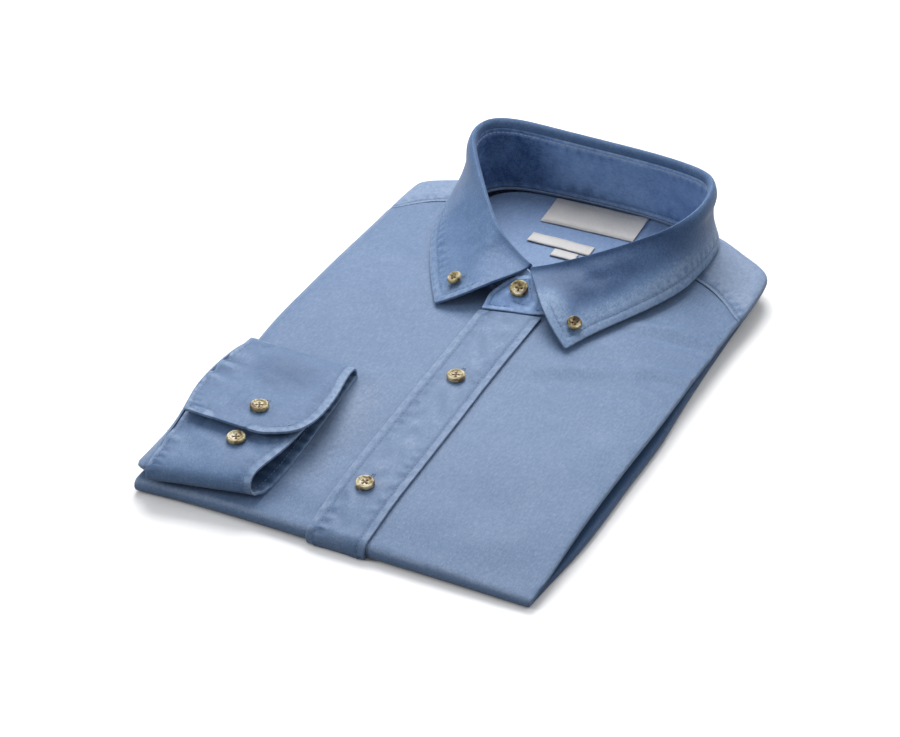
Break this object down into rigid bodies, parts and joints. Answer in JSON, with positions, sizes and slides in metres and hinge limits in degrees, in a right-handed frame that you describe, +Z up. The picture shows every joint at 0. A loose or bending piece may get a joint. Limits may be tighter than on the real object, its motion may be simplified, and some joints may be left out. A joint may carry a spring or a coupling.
{
  "type": "folded denim shirt",
  "caption": "Long-sleeved denim shirt with a button-down collar, folded flat as for a shelf, one cuff laid across its front.",
  "frame": {"origin": "middle of the shirt's footprint, on the surface it rests on", "axes": "+Y from the bottom fold towards the collar, +X towards the wearer's left side, +Z up"},
  "size_m": [0.2622, 0.3894, 0.07],
  "materials": {
    "denim": "washed light-blue denim, matt",
    "collar_denim": "washed blue denim, two layers, matt",
    "denim_inside": "inside of the denim, matt",
    "label": "off-white woven tape, bare",
    "horn_button": "polished horn look, cream and olive brown"
  },
  "bodies": {
    "root": {"folded_layers": "denim", "front_right": "denim", "front_left": "denim", "placket": "denim", "back": "denim_inside", "yoke": "denim", "collar_stand": "collar_denim", "collar_leaf": "collar_denim", "cuff": "denim", "sleeve": "denim", "neck_label": "label", "care_label": "label", "size_label": "label", "button_front_lower": "horn_button", "button_front_upper": "horn_button", "button_collar": "horn_button", "button_cuff_overlap": "horn_button", "button_cuff_under": "horn_button", "button_point_left": "horn_button", "button_point_right": "horn_button"}
  },
  "joints": []
}
